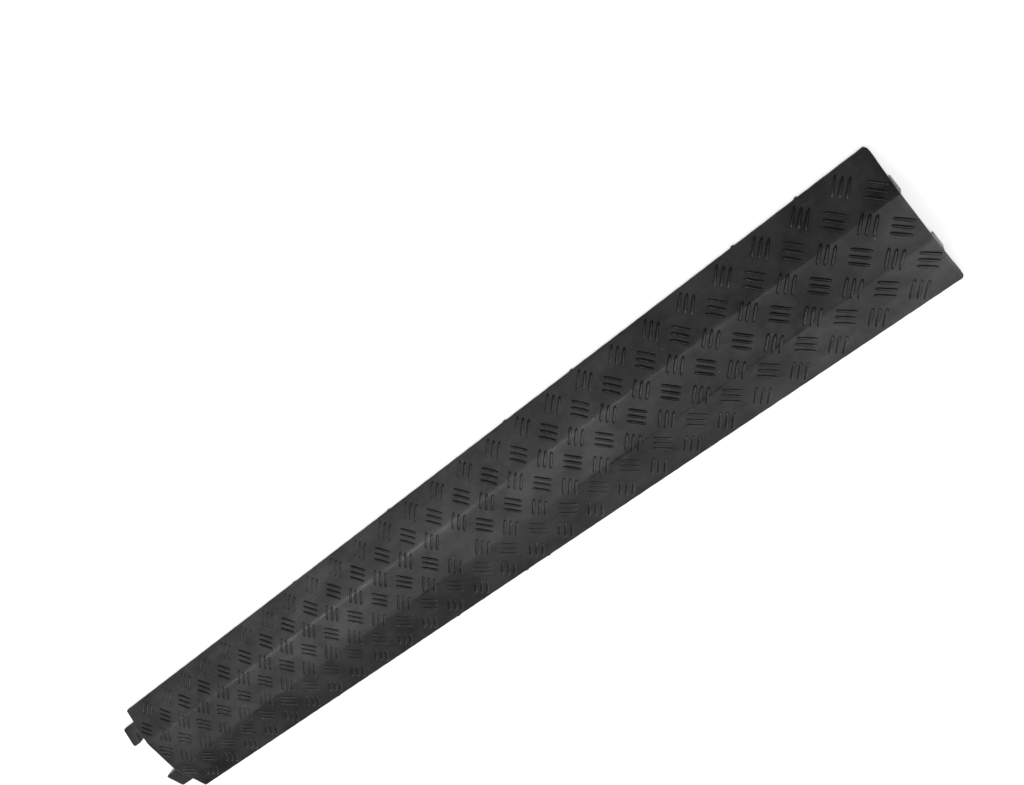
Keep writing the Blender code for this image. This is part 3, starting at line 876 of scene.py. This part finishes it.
hook_low, hook_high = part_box("hook_left")
hook_corners = [
    (hook_end + HOOK_ROOT, hook_high.y),
    (hook_low.x, hook_high.y),
    (hook_low.x, hook_low.y),
    (hook_end - HOOK_THROAT, hook_low.y),
    (hook_end - HOOK_THROAT, hook_high.y - HOOK_ARM_WIDTH),
    (hook_end + HOOK_ROOT, hook_high.y - HOOK_ARM_WIDTH),
]
hook_radii = {1: HOOK_CORNER, 2: HOOK_TIP_CORNER, 3: HOOK_CORNER, 4: THROAT_CORNER}
hook_plan = rounded(hook_corners, hook_radii)
hook_rings = standing(hook_plan, draft=0.0, edge=HOOK_EDGE, low=HAIR, lowered=HOOK_LOWERED)
for side_name, side in SIDES.items():
    hook = moulded(f"link_hook_{side_name}", [on_side(hook_rings, side)], inner_plastic)
    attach(hook, "root")
    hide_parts(f"hook_{side_name}")

# Sockets: at the other end, each ramp has a space for a hook. A wall closes it off from the last cell and a
# cheek runs on beside the rim. The catch block at its mouth is what the next hook pulls on. Its end face
# slopes out a little towards the floor, as a lead for the hook.

SOCKET_WALL = 0.0080
SOCKET_CORNER = 0.0015
CHEEK_WIDTH = 0.0075
CATCH_DRAFT = 0.02
CATCH_CORNER = 0.0010
CATCH_PROUD = 0.0010
CATCH_LEDGE = 0.0001
CATCH_INSET = 0.0003

catch_low, catch_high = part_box("socket_catch_left")
cheek_inner = rim_inner - CHEEK_WIDTH
socket_corners = [
    (socket_start - SOCKET_WALL, wall_foot_outer - RIB_LAP),
    (socket_start, wall_foot_outer - RIB_LAP),
    (socket_start, cheek_inner),
    (socket_end, cheek_inner),
    (socket_end, rim_inner + RIM_LAP),
    (socket_start - SOCKET_WALL, rim_inner + RIM_LAP),
]
catch_corners = [
    (catch_low.x, channel_foot + CATCH_INSET),
    (socket_end + CATCH_PROUD, channel_foot + CATCH_INSET),
    (socket_end + CATCH_PROUD, catch_high.y),
    (catch_low.x, catch_high.y),
]
socket_plan = rounded(socket_corners, {2: SOCKET_CORNER})
socket_rings = standing(socket_plan, draft=BLOCK_DRAFT, root=THIN_ROOT, low=3 * HAIR)
socket_rings = within_ends(socket_rings, 2 * HAIR)
catch_plan = rounded(catch_corners, {2: CATCH_CORNER, 3: CATCH_CORNER})
catch_rings = standing(catch_plan, draft=CATCH_DRAFT, root=THIN_ROOT, low=4 * HAIR)
share_down = 1 - catch_rings[..., 2] / catch_high.z
catch_face = socket_end + CATCH_LEDGE + (CATCH_PROUD - CATCH_LEDGE) * share_down
catch_rings[..., 0] = np.minimum(catch_rings[..., 0], catch_face)
for side_name, side in SIDES.items():
    cheek = moulded(f"socket_cheek_{side_name}", [on_side(socket_rings, side)], inner_plastic)
    catch = moulded(f"catch_block_{side_name}", [on_side(catch_rings, side)], inner_plastic)
    for piece, node in ((cheek, f"socket_wall_{side_name}"), (catch, f"socket_catch_{side_name}")):
        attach(piece, "root")
        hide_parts(node)

# Stage: a plain pale floor and an even studio. The floor is white to the camera and keeps a soft shadow. Seen
# from below it is clear, so that the underside shows. The lamps are wide and hang level, well above the ramp.

FLOOR_SIZE = 14.0
FLOOR_DROP = 0.0002
FLOOR_TONE = 0.85
FLOOR_ROUGHNESS = 0.9
FLOOR_SPECULAR = 0.1
FLOOR_GLOW = 0.62
FADE_START = 0.8
FADE_END = 2.4
WORLD_LIGHT = 0.11
LAMPS_UP = 1.9
LAMPS_DOWN = -1.6

floor_mesh = bpy.data.meshes.new("floor")
corner = FLOOR_SIZE / 2
floor_corners = [(-corner, -corner), (corner, -corner), (corner, corner), (-corner, corner)]
floor_mesh.from_pydata([(x, y, -FLOOR_DROP) for x, y in floor_corners], [], [(0, 1, 2, 3)])
floor = bpy.data.objects.new("floor", floor_mesh)
bpy.context.scene.collection.objects.link(floor)
floor.visible_shadow = False
floor.visible_diffuse = False

floor_paint = bpy.data.materials.new("floor_paint")
floor_paint.use_nodes = True
paint = floor_paint.node_tree
paint_shader = paint.nodes["Principled BSDF"]
paint_shader.inputs["Base Color"].default_value = (FLOOR_TONE, FLOOR_TONE, FLOOR_TONE, 1)
paint_shader.inputs["Roughness"].default_value = FLOOR_ROUGHNESS
paint_shader.inputs["Specular IOR Level"].default_value = FLOOR_SPECULAR
paint_shader.inputs["Emission Color"].default_value = (1, 1, 1, 1)
light_path = paint.nodes.new("ShaderNodeLightPath")
seen = math_node(paint, "MAXIMUM", light_path.outputs["Is Camera Ray"], light_path.outputs["Is Glossy Ray"])
seen = math_node(paint, "MAXIMUM", seen, light_path.outputs["Is Transmission Ray"])
distance = paint.nodes.new("ShaderNodeVectorMath")
distance.operation = "LENGTH"
paint.links.new(paint.nodes.new("ShaderNodeTexCoord").outputs["Object"], distance.inputs[0])
far_off = spread(paint, distance.outputs["Value"], FADE_START, FADE_END)
glow = math_node(paint, "MULTIPLY_ADD", far_off, 1 - FLOOR_GLOW, FLOOR_GLOW)
paint.links.new(math_node(paint, "MULTIPLY", seen, glow), paint_shader.inputs["Emission Strength"])
clear = paint.nodes.new("ShaderNodeBsdfTransparent")
one_sided = paint.nodes.new("ShaderNodeMixShader")
paint.links.new(paint.nodes.new("ShaderNodeNewGeometry").outputs["Backfacing"], one_sided.inputs["Fac"])
paint.links.new(paint_shader.outputs[0], one_sided.inputs[1])
paint.links.new(clear.outputs[0], one_sided.inputs[2])
paint.links.new(one_sided.outputs[0], paint.nodes["Material Output"].inputs["Surface"])
floor_mesh.materials.append(floor_paint)

world = bpy.data.worlds.new("studio")
world.use_nodes = True
bpy.context.scene.world = world
sky = world.node_tree
sky_path = sky.nodes.new("ShaderNodeLightPath")
sky_camera = sky_path.outputs["Is Camera Ray"]
sky_seen = math_node(sky, "MAXIMUM", sky_camera, sky_path.outputs["Is Transmission Ray"])
strength = math_node(sky, "MULTIPLY_ADD", sky_seen, 1 - WORLD_LIGHT, WORLD_LIGHT)
sky.links.new(strength, sky.nodes["Background"].inputs["Strength"])
sky.nodes["Background"].inputs["Color"].default_value = (1, 1, 1, 1)


def soft_box(name, low, high, height, radiance):
    """A level rectangular lamp from one plan corner to the other, at a height and of a brightness in W/m2/sr.
    Above the floor it faces down, below the floor it faces up."""
    lamp = bpy.data.lights.new(name, "AREA")
    lamp.shape = "RECTANGLE"
    lamp.size = high[0] - low[0]
    lamp.size_y = high[1] - low[1]
    lamp.energy = math.pi * lamp.size * lamp.size_y * radiance
    box = bpy.data.objects.new(name, lamp)
    box.location = ((low[0] + high[0]) / 2, (low[1] + high[1]) / 2, height)
    box.rotation_euler = (math.pi if height < 0 else 0, 0, 0)
    bpy.context.scene.collection.objects.link(box)


soft_box("long strip over the crown", (-2.35, -0.90), (-0.1, -0.05), LAMPS_UP, 1.2)
soft_box("end of the strip", (-0.1, -0.90), (0.4, -0.05), LAMPS_UP, 0.15)
soft_box("sheen on the far ridge", (-2.3, 0.06), (-1.0, 0.16), LAMPS_UP, 12.0)
soft_box("glint on the left bars", (-1.0, 0.00), (-0.3, 0.12), LAMPS_UP, 5.0)
soft_box("middle of the glint", (-0.3, 0.02), (0.5, 0.12), LAMPS_UP, 3.5)
soft_box("glint on the near left bars", (0.5, -0.80), (1.5, 0.14), LAMPS_UP, 1.6)
soft_box("glint on the right bars", (0.4, -1.45), (1.5, -1.15), LAMPS_UP, 3.0)
soft_box("near fill over the bars' right sides", (0.4, -3.30), (2.0, -1.60), LAMPS_UP, 2.2)
soft_box("fill over the left ramp", (-2.55, 0.40), (-0.3, 1.30), LAMPS_UP, 1.12)
soft_box("fill over the right ramp", (-2.8, -3.10), (-0.8, -1.60), LAMPS_UP, 0.5)
soft_box("near fill over the right ramp", (-0.8, -3.10), (0.4, -1.60), LAMPS_UP, 0.9)
soft_box("far side", (-6.0, -1.0), (-2.8, 2.5), LAMPS_UP, 0.3)
soft_box("right side", (-1.0, -7.5), (3.0, -3.3), LAMPS_UP, 1.2)
soft_box("underside", (-1.2, -0.90), (1.2, 0.90), LAMPS_DOWN, 1.7)

# Camera: above the socket end and to the left of the ramp, looking down its length and turned so that the
# ramp runs from lower left to upper right. Its place and aim are measured from the middle of the hook end.

CAMERA_PLACE = (1.0647, 0.2282, 0.8913)
CAMERA_AIM = (0.5900, 0.0235, 0.0)
CAMERA_ROLL = math.radians(-152.76)
LENS = 38.89
SENSOR_WIDTH = 36
RISE = 0.0757
NEAREST = 0.01

camera_data = bpy.data.cameras.new("camera")
camera_data.lens = LENS
camera_data.sensor_width = SENSOR_WIDTH
camera_data.shift_y = RISE
camera_data.clip_start = NEAREST
camera = bpy.data.objects.new("camera", camera_data)
bpy.context.scene.collection.objects.link(camera)
bpy.context.scene.camera = camera
place = Vector((hook_end, 0, 0)) + Vector(CAMERA_PLACE)
aim = Vector((hook_end, 0, 0)) + Vector(CAMERA_AIM)
towards = (aim - place).normalized()
level = towards.cross(Vector((0, 0, 1))).normalized()
upright = level.cross(towards)
right = level * math.cos(CAMERA_ROLL) + upright * math.sin(CAMERA_ROLL)
turned_up = upright * math.cos(CAMERA_ROLL) - level * math.sin(CAMERA_ROLL)
camera.matrix_world = Matrix.Translation(place) @ Matrix((right, turned_up, -towards)).transposed().to_4x4()

bpy.context.scene.view_settings.view_transform = "Standard"
